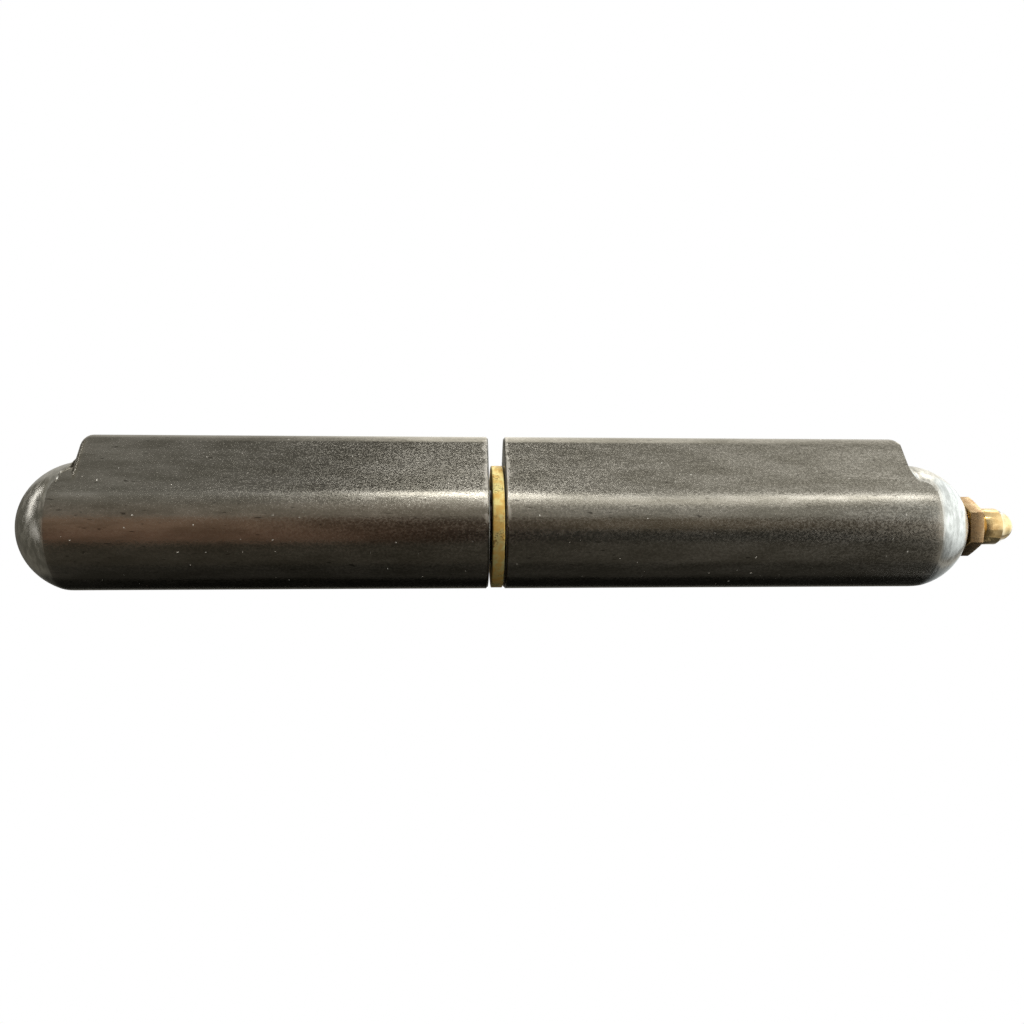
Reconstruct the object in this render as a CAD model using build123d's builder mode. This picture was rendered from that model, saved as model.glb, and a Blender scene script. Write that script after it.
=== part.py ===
from build123d import *
import os
from math import cos, radians, sin, sqrt, tan

# Weld-on barrel hinge.
#
# The swing axis is Z. The pin leaf is below and is welded to the post; the socket leaf turns on its
# pin, on a brass washer, and lifts off upwards. Both wings point to -X. The origin is on the swing
# axis, half-way between the two leaves. All sizes are in millimetres, and all angles in degrees.

# Drawn bar: the teardrop section that both leaves are sawn from
barrel_dia = 22.0            # round part of the section
wing_reach = 16.0            # swing axis to the tip of the wing
wing_tip_radius = 3.5        # round of the tip, tangent to both flats

# Leaves
pin_leaf_length = 80.5       # bearing face to the top of the dome
socket_leaf_length = 84.5
face_chamfer = 0.35          # around both bearing faces

# Turned ends
turned_proud = 0.2           # the turned dome's radius over the bar's
pin_wing_past = 0.8          # the pin leaf's wing ends this far outside the dome's centre
pin_root_radius = 1.5        # hollow from that end to the dome
pin_wing_round = 2.0         # rounding of that end's edges
socket_root_radius = 1.45    # hollow from the socket leaf's dome out to its wing's end
socket_wing_bevel = 0.7      # 45 degree bevel at the tip of that end

# Hinge pin, pressed into the pin leaf and running in the socket leaf
pin_dia = 13.0
pin_seat_depth = 32.0        # length in the pin leaf
pin_stand_out = 48.0         # length above the pin leaf's bearing face
pin_lead_in = 1.2            # bevel of both ends
running_clearance = 0.05     # radial, pin to socket leaf
drill_point_angle = 118.0    # end of each drilled bore

# Thrust washer
washer_thickness = 2.0
washer_inset = 0.15          # its rim lies this far inside the barrel's
washer_edge_break = 0.15     # around the rim
washer_bore_clearance = 0.1  # radial, pin to washer
washer_lower_gap = 0.55      # from the pin leaf's bearing face up to the washer
washer_upper_gap = 0.25      # from the washer up to the socket leaf's

# Grease way in the socket leaf
grease_space = 4.0           # length of bore left above the pin
grease_way_dia = 4.0
thread_dia = 6.35            # 1/4-28 taper thread of the grease fitting
thread_depth = 8.0
spot_face_drop = 0.5         # depth of the flat under the hexagon, from the top of the dome

# Grease fitting
hex_across_flats = 9.525     # 3/8 in
hex_thickness = 2.5
hex_bevel_angle = 15.0       # the corners are turned down on the outer face
shank_length = 5.5
shank_lead_in = 0.5
neck_dia = 5.0
neck_length = 0.5
head_dia = 6.7               # the grease gun's jaws close behind this head
head_start = 1.4             # from the hexagon's outer face
head_length = 3.1
nose_length = 3.1            # tapered end beyond the head
nose_shoulder_dia = 4.6      # where its taper steepens
nose_shoulder_rise = 2.0
nose_tip_dia = 2.8
mouth_dia = 1.6
mouth_length = 0.6
seat_angle = 45.0            # half angle of the ball's seat
passage_dia = 2.8
lip_dia = 1.9                # staked end that keeps the spring in
lip_length = 0.5

# Check valve inside the fitting
ball_dia = 2.4
ball_clearance = 0.04        # along the axis, from the ball to its seat and to its spring
spring_wire_dia = 0.32
spring_wall_clearance = 0.12
spring_turns = 4
spring_wire_sides = 5        # the wire's section is drawn as a polygon

# Worked-out sizes
cut_margin = 1.0             # how far a cutting profile runs past what it cuts
barrel_radius = barrel_dia / 2
dome_radius = barrel_radius + turned_proud
joint_gap = washer_lower_gap + washer_thickness + washer_upper_gap
pin_face_z = -joint_gap / 2
socket_face_z = joint_gap / 2
washer_base_z = pin_face_z + washer_lower_gap
pin_dome_z = pin_face_z - pin_leaf_length + dome_radius
socket_dome_z = socket_face_z + socket_leaf_length - dome_radius
socket_wing_z = socket_dome_z - socket_root_radius
bore_radius = pin_dia / 2 + running_clearance
bore_depth = pin_stand_out - joint_gap + grease_space
fitting_seat_z = socket_dome_z + dome_radius - spot_face_drop
fitting_base_z = fitting_seat_z - shank_length
hex_top_z = fitting_seat_z + hex_thickness
hex_flat_radius = hex_across_flats / 2
hex_corner_radius = hex_flat_radius / cos(radians(30)) + cut_margin
hex_bevel_rise = (hex_corner_radius - hex_flat_radius) * tan(radians(hex_bevel_angle))
nose_base_z = hex_top_z + head_start + head_length
nose_top_z = nose_base_z + nose_length
seat_top_z = nose_top_z - mouth_length
seat_base_z = seat_top_z - (passage_dia - mouth_dia) / 2 / tan(radians(seat_angle))
ball_seat_drop = (ball_dia / sin(radians(seat_angle)) - mouth_dia / tan(radians(seat_angle))) / 2
ball_z = seat_top_z - ball_seat_drop - ball_clearance
spring_radius = (passage_dia - spring_wire_dia) / 2 - spring_wall_clearance
spring_base_z = fitting_base_z + lip_length + spring_wire_dia / 2
spring_ball_drop = sqrt((ball_dia + spring_wire_dia) ** 2 / 4 - spring_radius**2)
spring_rise = ball_z - spring_ball_drop - ball_clearance - spring_base_z


def drawn_section():
    """Draws the bar's section: a round barrel, and a wing with two flats tangent to it."""
    Circle(barrel_radius)
    with Locations((wing_tip_radius - wing_reach, 0)):
        Circle(wing_tip_radius)
    make_hull()


def turned_envelope(dome_plane, leaf_length, wing_past, root_radius):
    """Returns the outline that a leaf's end is turned to, for a cut by intersection.

    The plane stands on the dome's centre, with its x axis outward from the swing axis and its y axis
    towards the top of the dome. The dome runs through a hollow of root_radius into the flat end of
    the wing, which lies wing_past above the dome's centre.
    """
    hollow_y = wing_past + root_radius
    hollow_x = sqrt((dome_radius + root_radius) ** 2 - hollow_y**2)
    dome_share = dome_radius / (dome_radius + root_radius)
    dome_end = (hollow_x * dome_share, hollow_y * dome_share)
    outside = wing_reach + cut_margin
    below = -leaf_length - cut_margin
    with BuildSketch(dome_plane) as outline:
        with BuildLine():
            RadiusArc((0, dome_radius), dome_end, dome_radius)
            RadiusArc(dome_end, (hollow_x, wing_past), -root_radius)
            Polyline(
                (hollow_x, wing_past),
                (outside, wing_past),
                (outside, below),
                (0, below),
                (0, dome_radius),
            )
        make_face()
    return outline.sketch


def drilled_bore(radius, mouth_z, depth, way):
    """Returns the profile of a drilled bore on the swing axis, cut up (way 1) or down (way -1)."""
    point_height = radius / tan(radians(drill_point_angle / 2))
    with BuildSketch(Plane.XZ) as profile:
        with BuildLine():
            Polyline(
                (0, mouth_z - way * cut_margin),
                (radius, mouth_z - way * cut_margin),
                (radius, mouth_z + way * depth),
                (0, mouth_z + way * (depth + point_height)),
                close=True,
            )
        make_face()
    return profile.sketch


# Pin leaf: drawn bar turned to a dome at its foot, with the edges of the wing's end rounded.
with BuildPart() as pin_leaf:
    with BuildSketch(Plane.XY.offset(pin_face_z)):
        drawn_section()
    extrude(amount=-pin_leaf_length)
    chamfer(pin_leaf.faces().sort_by(Axis.Z)[-1].edges(), face_chamfer)
    foot_plane = Plane((0, 0, pin_dome_z), x_dir=(1, 0, 0), z_dir=(0, 1, 0))
    foot = turned_envelope(foot_plane, pin_leaf_length, pin_wing_past, pin_root_radius)
    revolve(foot, axis=Axis.Z, mode=Mode.INTERSECT)
    wing_end = pin_leaf.faces().filter_by(Axis.Z).sort_by(Axis.Z)[0]
    fillet(wing_end.edges().filter_by(GeomType.LINE), pin_wing_round)
    pin_seat = drilled_bore(pin_dia / 2, pin_face_z, pin_seat_depth, -1)
    revolve(pin_seat, axis=Axis.Z, mode=Mode.SUBTRACT)

# Socket leaf: drawn bar turned to a dome at its head, with the wing's end faced square and bevelled.
with BuildPart() as socket_leaf:
    with BuildSketch(Plane.XY.offset(socket_face_z)):
        drawn_section()
    extrude(amount=socket_leaf_length)
    chamfer(socket_leaf.faces().sort_by(Axis.Z)[0].edges(), face_chamfer)
    head_plane = Plane((0, 0, socket_dome_z), x_dir=(1, 0, 0), z_dir=(0, -1, 0))
    head = turned_envelope(head_plane, socket_leaf_length, -socket_root_radius, socket_root_radius)
    revolve(head, axis=Axis.Z, mode=Mode.INTERSECT)
    with BuildSketch(Plane.XZ):
        with BuildLine():
            Polyline(
                (wing_reach - socket_wing_bevel - cut_margin, socket_wing_z + cut_margin),
                (wing_reach + cut_margin, socket_wing_z + cut_margin),
                (wing_reach + cut_margin, socket_wing_z - socket_wing_bevel - cut_margin),
                close=True,
            )
        make_face()
    revolve(axis=Axis.Z, mode=Mode.SUBTRACT)
    pin_bore = drilled_bore(bore_radius, socket_face_z, bore_depth, 1)
    revolve(pin_bore, axis=Axis.Z, mode=Mode.SUBTRACT)
    with BuildSketch(Plane.XY.offset(fitting_seat_z)):
        Circle(dome_radius)
    extrude(amount=spot_face_drop + cut_margin, mode=Mode.SUBTRACT)
    with BuildSketch(Plane.XY.offset(fitting_seat_z)):
        Circle(thread_dia / 2)
    extrude(amount=-thread_depth, mode=Mode.SUBTRACT)
    with BuildSketch(Plane.XY.offset(fitting_seat_z)):
        Circle(grease_way_dia / 2)
    extrude(amount=socket_face_z + bore_depth - fitting_seat_z, mode=Mode.SUBTRACT)

# Hinge pin: a ground pin, bevelled at both ends, its lower part pressed into the pin leaf.
with BuildPart() as hinge_pin:
    with BuildSketch(Plane.XY.offset(pin_face_z - pin_seat_depth)):
        Circle(pin_dia / 2)
    extrude(amount=pin_seat_depth + pin_stand_out)
    chamfer(hinge_pin.edges().filter_by(GeomType.CIRCLE), pin_lead_in)

# Thrust washer: a flat ring with its rim's edges broken.
with BuildPart() as thrust_washer:
    with BuildSketch(Plane.XY.offset(washer_base_z)):
        Circle(barrel_radius - washer_inset)
        Circle(pin_dia / 2 + washer_bore_clearance, mode=Mode.SUBTRACT)
    extrude(amount=washer_thickness)
    chamfer(thrust_washer.edges().filter_by(GeomType.CIRCLE).sort_by(SortBy.RADIUS)[-2:], washer_edge_break)

# Grease fitting body: turned from hexagon bar, with the check valve's passage through it.
with BuildPart() as grease_fitting:
    with BuildSketch(Plane.XY.offset(fitting_seat_z)):
        RegularPolygon(hex_flat_radius, 6, major_radius=False)
    extrude(amount=hex_thickness)
    with BuildSketch(Plane.XZ):
        with BuildLine():
            Polyline(
                (0, fitting_seat_z),
                (hex_corner_radius, fitting_seat_z),
                (hex_corner_radius, hex_top_z - hex_bevel_rise),
                (hex_flat_radius, hex_top_z),
                (0, hex_top_z),
                close=True,
            )
        make_face()
    revolve(axis=Axis.Z, mode=Mode.INTERSECT)
    with BuildSketch(Plane.XZ):
        with BuildLine():
            Polyline(
                (0, nose_top_z),
                (nose_tip_dia / 2, nose_top_z),
                (nose_shoulder_dia / 2, nose_base_z + nose_shoulder_rise),
                (head_dia / 2, nose_base_z),
                (head_dia / 2, hex_top_z + head_start),
                (neck_dia / 2, hex_top_z + neck_length),
                (neck_dia / 2, hex_top_z),
                (0, hex_top_z),
                close=True,
            )
        make_face()
    revolve(axis=Axis.Z)
    with BuildSketch(Plane.XY.offset(fitting_seat_z)):
        Circle(thread_dia / 2)
    extrude(amount=-shank_length)
    chamfer(grease_fitting.faces().sort_by(Axis.Z)[0].edges(), shank_lead_in)
    with BuildSketch(Plane.XZ):
        with BuildLine():
            Polyline(
                (0, fitting_base_z - cut_margin),
                (lip_dia / 2, fitting_base_z - cut_margin),
                (lip_dia / 2, fitting_base_z + lip_length),
                (passage_dia / 2, fitting_base_z + lip_length),
                (passage_dia / 2, seat_base_z),
                (mouth_dia / 2, seat_top_z),
                (mouth_dia / 2, nose_top_z + cut_margin),
                (0, nose_top_z + cut_margin),
                close=True,
            )
        make_face()
    revolve(axis=Axis.Z, mode=Mode.SUBTRACT)

# Check ball, behind the fitting's mouth.
with BuildPart() as check_ball:
    with BuildSketch(Plane.XZ):
        with BuildLine():
            CenterArc((0, ball_z), ball_dia / 2, -90, 180)
            Line((0, ball_z - ball_dia / 2), (0, ball_z + ball_dia / 2))
        make_face()
    revolve(axis=Axis.Z)

# Check spring: a coil from the staked lip to the underside of the ball.
with BuildPart() as check_spring:
    with BuildLine() as coil:
        Helix(spring_rise / spring_turns, spring_rise, spring_radius, center=(0, 0, spring_base_z))
    with BuildSketch(Plane(coil.line @ 0, z_dir=coil.line % 0)):
        RegularPolygon(spring_wire_dia / 2, spring_wire_sides)
    sweep(is_frenet=True)

pin_leaf.part.label = "pin_leaf"
socket_leaf.part.label = "socket_leaf"
hinge_pin.part.label = "hinge_pin"
thrust_washer.part.label = "thrust_washer"
grease_fitting.part.label = "grease_fitting"
check_ball.part.label = "check_ball"
check_spring.part.label = "check_spring"

os.makedirs("parts", exist_ok=True)
for piece in (pin_leaf, socket_leaf, hinge_pin, thrust_washer, grease_fitting, check_ball, check_spring):
    export_step(piece.part, f"parts/{piece.part.label}.step")
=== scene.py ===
"""The finished look of a weld-on barrel hinge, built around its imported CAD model.

Two drawn steel leaves with turned ends close on a brass thrust washer, and a brass grease fitting
stands in the end of the upper leaf. The hinge's own sizes are in millimetres and the studio's in
metres, in the part's frame: Z is the swing axis, the wings point to -X, and the origin lies half-way
between the leaves.
"""

import logging
from dataclasses import dataclass
from enum import Enum
from math import acos, asin, atan2, cos, degrees, pi, radians, sin, sqrt, tan
from typing import Any, Iterable, Sequence

import bpy
from bpy.types import Material, Node, NodeSocket, NodeTree, Object
from mathutils import Matrix, Vector


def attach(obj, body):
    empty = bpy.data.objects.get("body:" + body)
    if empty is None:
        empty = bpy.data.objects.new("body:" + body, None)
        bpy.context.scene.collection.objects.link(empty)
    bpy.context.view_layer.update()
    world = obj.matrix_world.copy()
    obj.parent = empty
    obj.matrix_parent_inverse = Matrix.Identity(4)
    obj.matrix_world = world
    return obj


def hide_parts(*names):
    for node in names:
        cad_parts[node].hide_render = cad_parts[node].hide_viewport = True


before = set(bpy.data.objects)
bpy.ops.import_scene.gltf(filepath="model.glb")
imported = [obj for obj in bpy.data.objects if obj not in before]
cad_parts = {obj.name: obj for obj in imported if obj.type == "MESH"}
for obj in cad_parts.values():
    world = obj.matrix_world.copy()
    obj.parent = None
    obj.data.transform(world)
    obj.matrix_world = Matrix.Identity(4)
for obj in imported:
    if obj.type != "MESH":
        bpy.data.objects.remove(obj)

log = logging.getLogger("hinge")

MM = 0.001                      # metres in a millimetre
MERGE_MM = 0.002                # points closer than this are one point
POLE_MM = MERGE_MM / 10         # radius of a ring that is merged to a pole
UNCUT = 99.0                    # turned radius of a ring where nothing is turned off the bar
JOINT_GAP = 2.8                 # between the bearing faces of the two leaves
SMOOTH_ANGLE = 28.0             # edges sharper than this stay crisp, in degrees


class Slot(Enum):
    """Material slots of the part's record."""

    DRAWN_STEEL = "drawn_steel"
    GROUND_STEEL = "ground_steel"
    WASHER_BRASS = "washer_brass"
    FITTING_BRASS = "fitting_brass"


# Shader building


def linear(hex_color: str) -> tuple[float, float, float, float]:
    """Turns an sRGB hex colour into the linear colour that a shader takes.

    Args:
        hex_color: Six hex digits, such as "8A857A".

    Returns:
        The linear red, green, blue and an alpha of 1.
    """
    levels = [int(hex_color[i:i + 2], 16) / 255 for i in (0, 2, 4)]
    turned = [c / 12.92 if c <= 0.04045 else ((c + 0.055) / 1.055) ** 2.4 for c in levels]
    return (turned[0], turned[1], turned[2], 1.0)


def add_node(tree: NodeTree, kind: str, settings: dict[str, Any] | None = None,
             inputs: dict[str | int, Any] | None = None) -> Node:
    """Adds a shader node with its settings, and sets or links its inputs.

    Args:
        tree: The node tree that gets the node.
        kind: The node's type name after "ShaderNode", such as "TexNoise".
        settings: Attributes of the node.
        inputs: For each socket, by name or number, its value or what is linked to it: an output
            socket, or a node for its first output.

    Returns:
        The new node.
    """
    node = tree.nodes.new("ShaderNode" + kind)
    for name, value in (settings or {}).items():
        setattr(node, name, value)
    for name, value in (inputs or {}).items():
        source = value.outputs[0] if isinstance(value, Node) else value
        if isinstance(source, NodeSocket):
            tree.links.new(source, node.inputs[name])
        else:
            node.inputs[name].default_value = source
    return node


def new_material(name: str) -> tuple[Material, NodeTree]:
    """Makes an empty node material.

    Args:
        name: The material's name.

    Returns:
        The material and its empty node tree.
    """
    material = bpy.data.materials.new(name)
    material.use_nodes = True
    material.node_tree.nodes.clear()
    return material, material.node_tree


def object_place(tree: NodeTree, stretch: Sequence[float] = (1, 1, 1)) -> Node:
    """Adds the object coordinates, in millimetres, with a stretch along each axis.

    Args:
        tree: The material's node tree.
        stretch: How many times longer the pattern is along each axis.

    Returns:
        The node with the coordinates.
    """
    place = add_node(tree, "TexCoord")
    scale = tuple(1 / (MM * s) for s in stretch)
    return add_node(tree, "Mapping", {}, {"Vector": place.outputs["Object"], "Scale": scale})


@dataclass(frozen=True)
class Speckle:
    """An irregular pattern: noise with grains of a real size, spread out between two of its levels."""

    size_mm: float
    low: float = 0.3            # noise that becomes 0
    high: float = 0.7           # noise that becomes 1
    detail: float = 2.0         # number of finer layers in the noise
    finer: float = 0.6          # strength of each of them beside the one before

    def add(self, tree: NodeTree, place: Node) -> Node:
        """Adds the pattern to a material.

        Args:
            tree: The material's node tree.
            place: Node with the coordinates in millimetres.

        Returns:
            The node with the level from 0 to 1.
        """
        noise = add_node(tree, "TexNoise", {}, {"Vector": place, "Scale": 1 / self.size_mm,
                                                "Detail": self.detail, "Roughness": self.finer})
        return add_node(tree, "MapRange", {"interpolation_type": "SMOOTHSTEP"},
                        {"Value": noise, "From Min": self.low, "From Max": self.high})


def laid_over(tree: NodeTree, under: str | NodeSocket, over: str, share: Node,
              most: float = 1.0) -> NodeSocket:
    """Lays a film of one colour over another, as thick as a pattern says.

    Args:
        tree: The material's node tree.
        under: The colour below, as sRGB hex digits or a socket.
        over: The film's colour, as sRGB hex digits.
        share: Node with the pattern, from 0 to 1.
        most: Share of the film's colour where the pattern is 1.

    Returns:
        The socket with the colour.
    """
    below = linear(under) if isinstance(under, str) else under
    thickness = add_node(tree, "MapRange", {}, {"Value": share, "To Max": most})
    film = add_node(tree, "Mix", {"data_type": "RGBA"}, {0: thickness, 6: below, 7: linear(over)})
    return film.outputs[2]


def close_metal(tree: NodeTree, color: NodeSocket, polish: Node, roughness: Sequence[float | Node],
                height: Node | NodeSocket, height_mm: float, metal: float | Node = 1.0) -> None:
    """Ends a metal's material with its shader and its bump.

    Args:
        tree: The material's node tree.
        color: Socket with the base colour.
        polish: Node with the pattern that the roughness follows, from 0 to 1.
        roughness: Roughness where the pattern is 0 and where it is 1.
        height: Surface height, from 0 to 1.
        height_mm: Real height of that level.
        metal: How bare the metal is: less than 1 under a film or dust.
    """
    smoothest, roughest = roughness
    rough = add_node(tree, "MapRange", {}, {"Value": polish, "To Min": smoothest, "To Max": roughest})
    bump = add_node(tree, "Bump", {}, {"Height": height, "Distance": height_mm * MM})
    shader = add_node(tree, "BsdfPrincipled", {}, {"Base Color": color, "Roughness": rough,
                                                   "Metallic": metal, "Normal": bump})
    add_node(tree, "OutputMaterial", {}, {"Surface": shader})


@dataclass(frozen=True)
class DrawnSteel:
    """Cold drawn carbon steel bar with its oiled mill skin.

    It gives the eye a grey skin with a fine grain, marks drawn out along the bar, an edge rubbed pale
    beside the joint, partly a painted highlight, and near black painted shade in the joint itself.
    """

    light: str = "AFACA4"
    dark: str = "959289"
    pit: str = "4A4640"
    # Pale bare metal of the rubbed edge: real wear, and partly a painted highlight on the lit side.
    bare_and_highlight: str = "D2CFC8"
    # Near black painted shade in the joint's gap and on the far side of its edges.
    gap_shade: str = "26241F"
    dust: str = "E9E7DF"
    mottle: Speckle = Speckle(2.4, 0.34, 0.66, 4.0)
    pits: Speckle = Speckle(0.42, 0.68, 0.77, 1.0)
    pit_share: float = 0.7
    mark_run: float = 4.0           # mottle and pits are this many times longer along the bar
    grain: Speckle = Speckle(0.32, 0.32, 0.68, 1.0)     # coarser than the real grit, so that it shows
    grain_run: float = 1.4
    grain_heights: tuple[float, float] = (-63.0, -16.8)     # between these the grain gets stronger
    grain_share: tuple[float, float] = (0.12, 0.3)          # from this share of the colour to this
    specks: Speckle = Speckle(0.5, 0.85, 0.875, 0.0)
    roughness: tuple[float, float] = (0.185, 0.28)
    depth_mm: float = 0.004
    # Wear, and painted shade at the joint: each pair says where it starts and where it is full, from the
    # middle of the joint.
    rubbed_edge: tuple[float, float] = (2.9, 2.2)
    gap_shade_edge: tuple[float, float] = (1.85, 1.6)
    gap_shade_lip: tuple[float, float] = (1.62, 1.5)
    lit_wings_side: tuple[float, float] = (2.6, -1.0)       # along X, where it is rubbed pale, partly a painted highlight, and has no painted shade
    rag: Speckle = Speckle(1.4, 0.3, 0.7, 3.0)
    rag_up: float = 0.9             # how far the wear's ragged outline wanders along the bar
    rag_round: float = 4.0          # and how far round it
    bare_share: float = 0.75
    bare_roughness: float = 0.36
    bare_relief: float = 0.3        # what is left of the grain's depth where it is rubbed
    gap_shade_share: float = 0.9

    def edge_wear(self, tree: NodeTree) -> tuple[Node, Node]:
        """Finds where the edges beside the joint are rubbed, on the wings' side, and where painted shade
        darkens them.

        Args:
            tree: The material's node tree.

        Returns:
            The nodes with the share of bare metal and of painted shade.
        """
        place = object_place(tree)
        rag = self.rag.add(tree, place)
        x, _, z = add_node(tree, "SeparateXYZ", {}, {0: place}).outputs
        height = add_node(tree, "Math", {"operation": "ABSOLUTE"}, {0: z})
        ragged_height, ragged_x = (
            add_node(tree, "Math", {"operation": "MULTIPLY_ADD"}, {0: rag, 1: wander, 2: way})
            for wander, way in ((self.rag_up, height), (self.rag_round, x)))
        fades = ((ragged_height, self.rubbed_edge), (ragged_x, self.lit_wings_side),
                 (height, self.gap_shade_edge), (height, self.gap_shade_lip))
        rubbed, lit_wings_side, gap_shaded, lip = (
            add_node(tree, "MapRange", {"interpolation_type": "SMOOTHSTEP"},
                     {"Value": way, "From Min": start, "From Max": full})
            for way, (start, full) in fades)
        # The far side of the edges, away from the light, and the lip at the bearing faces get painted shade.
        shaded_far_side = add_node(tree, "Math", {"operation": "SUBTRACT"}, {0: 1.0, 1: lit_wings_side})
        # The pale rubbed edge is kept to the lit wings' side: wear, and partly a painted highlight.
        bare_and_highlight = add_node(tree, "Math", {"operation": "MULTIPLY"}, {0: rubbed, 1: lit_wings_side})
        edge = add_node(tree, "Math", {"operation": "MULTIPLY"}, {0: gap_shaded, 1: shaded_far_side})
        return bare_and_highlight, add_node(tree, "Math", {"operation": "MAXIMUM"}, {0: edge, 1: lip})

    def make(self) -> Material:
        """Builds the material.

        Returns:
            The material.
        """
        material, tree = new_material("cold_drawn_steel")
        place = object_place(tree)
        # Patches of oxide, lighter and darker, that the die drew out along the bar.
        along = object_place(tree, (1, 1, self.mark_run))
        color = laid_over(tree, self.dark, self.light, self.mottle.add(tree, along))
        # Fine grain, dark in its hollows and stronger towards the joint.
        grain = self.grain.add(tree, object_place(tree, (1, 1, self.grain_run)))
        z = add_node(tree, "SeparateXYZ", {}, {0: place}).outputs["Z"]
        (foot, full), (least, most) = self.grain_heights, self.grain_share
        depth = add_node(tree, "MapRange", {"interpolation_type": "SMOOTHSTEP"},
                         {"Value": z, "From Min": foot, "From Max": full, "To Min": least, "To Max": most})
        hollows = add_node(tree, "MapRange", {}, {"Value": grain, "To Min": depth, "To Max": 0.0})
        color = laid_over(tree, color, self.pit, hollows)
        # A few shallow pits, dark with oil.
        color = laid_over(tree, color, self.pit, self.pits.add(tree, along), self.pit_share)
        # Bare metal where the edge is rubbed, paler and flatter, partly a painted highlight, and near black
        # painted shade along the rest of it.
        rubbed, gap_shaded = self.edge_wear(tree)
        # Paler bare metal on the lit wings' side: wear, and partly a painted highlight.
        color = laid_over(tree, color, self.bare_and_highlight, rubbed, self.bare_share)
        color = laid_over(tree, color, self.gap_shade, gap_shaded, self.gap_shade_share)
        roughness = [add_node(tree, "Mix", {"data_type": "FLOAT"},
                              {0: rubbed, 2: end, 3: self.bare_roughness}) for end in self.roughness]
        kept = add_node(tree, "MapRange", {}, {"Value": rubbed, "To Min": 1.0, "To Max": self.bare_relief})
        relief = add_node(tree, "Math", {"operation": "MULTIPLY"}, {0: grain, 1: kept})
        # Stray white dust, which is no metal.
        dust = self.specks.add(tree, place)
        color = laid_over(tree, color, self.dust, dust)
        metal = add_node(tree, "Math", {"operation": "SUBTRACT"}, {0: 1.0, 1: dust})
        close_metal(tree, color, grain, roughness, relief, self.depth_mm, metal)
        return material


@dataclass(frozen=True)
class TurnedSteel:
    """The same steel turned on a lathe: bright and clouded, with faint tool rings round the axis."""

    light: str = "D4D3CD"
    dark: str = "A9A8A2"
    cloud: Speckle = Speckle(2.2, 0.35, 0.65, 4.0)
    cloud_run: float = 0.4          # clouds are this much shorter along the axis than round it
    feed_mm: float = 0.2369         # the tool's feed, which leaves one ring a turn
    waver: float = 0.6              # how much the rings waver
    roughness: tuple[float, float] = (0.2, 0.32)
    depth_mm: float = 0.0016

    def make(self) -> Material:
        """Builds the material.

        Returns:
            The material.
        """
        material, tree = new_material("turned_steel")
        cloud = self.cloud.add(tree, object_place(tree, (1, 1, self.cloud_run)))
        color = laid_over(tree, self.dark, self.light, cloud)
        # The wave texture has a band in each pi / 10 of its own units.
        rings = add_node(tree, "TexWave", {"wave_type": "BANDS", "bands_direction": "Z"},
                         {"Vector": object_place(tree), "Scale": pi / (10 * self.feed_mm),
                          "Distortion": self.waver})
        close_metal(tree, color, cloud, self.roughness, rings.outputs[1], self.depth_mm)
        return material


@dataclass(frozen=True)
class GroundSteel:
    """Steel ground to size: even and bright, with hair lines round it, and near black painted shade where it
    shows in the joint's gap.
    """

    light: str = "CDCDCB"
    dark: str = "ABABA8"
    line: Speckle = Speckle(0.1, 0.3, 0.7, 3.0)
    line_run: tuple[float, float, float] = (8, 8, 1)    # how far a line runs along X, Y and Z
    # Near black painted shade on the pin in the joint's gap.
    gap_shade: str = "1C1A16"
    gap_shaded: tuple[float, float] = (2.6, 1.9)       # where it starts and is full, from the joint's middle
    roughness: tuple[float, float] = (0.16, 0.28)
    depth_mm: float = 0.0006

    def make(self) -> Material:
        """Builds the material.

        Returns:
            The material.
        """
        material, tree = new_material("ground_steel")
        lines = self.line.add(tree, object_place(tree, self.line_run))
        color = laid_over(tree, self.dark, self.light, lines)
        z = add_node(tree, "SeparateXYZ", {}, {0: object_place(tree)}).outputs["Z"]
        height = add_node(tree, "Math", {"operation": "ABSOLUTE"}, {0: z})
        # Painted shade over the pin where it shows in the joint's gap.
        start, full = self.gap_shaded
        gap_shaded = add_node(tree, "MapRange", {"interpolation_type": "SMOOTHSTEP"},
                           {"Value": height, "From Min": start, "From Max": full})
        color = laid_over(tree, color, self.gap_shade, gap_shaded)
        close_metal(tree, color, lines, self.roughness, lines, self.depth_mm)
        return material


@dataclass(frozen=True)
class Brass:
    """Worked brass: pale yellow, tarnished in clouds, with the hair lines of its last cut."""

    name: str
    light: str
    dark: str
    cloud: Speckle
    roughness: tuple[float, float]
    line: Speckle = Speckle(0.12)
    line_run: tuple[float, float, float] = (12, 12, 1)  # how far a line runs along X, Y and Z
    line_share: float = 0.2
    freckle: str = "7E5424"
    freckles: Speckle = Speckle(0.3, 0.5, 0.62, 1.0)
    crowds: Speckle = Speckle(2.6, 0.5, 0.64, 1.0)      # where the freckles are
    freckle_share: float = 0.0
    metal: float = 1.0                                  # less under a dull film
    depth_mm: float = 0.0012

    def make(self) -> Material:
        """Builds the material.

        Returns:
            The material.
        """
        material, tree = new_material(self.name)
        place = object_place(tree)
        cloud = self.cloud.add(tree, place)
        color = laid_over(tree, self.light, self.dark, cloud)
        # Hair lines from the tool, dark between their crests.
        lines = self.line.add(tree, object_place(tree, self.line_run))
        between = add_node(tree, "Math", {"operation": "SUBTRACT"}, {0: 1.0, 1: lines})
        color = laid_over(tree, color, self.dark, between, self.line_share)
        # Brown freckles of tarnish, which crowd together.
        crowded = add_node(tree, "Math", {"operation": "MULTIPLY"},
                           {0: self.freckles.add(tree, place), 1: self.crowds.add(tree, place)})
        color = laid_over(tree, color, self.freckle, crowded, self.freckle_share)
        close_metal(tree, color, cloud, self.roughness, lines, self.depth_mm, self.metal)
        return material


# Modelling


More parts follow.
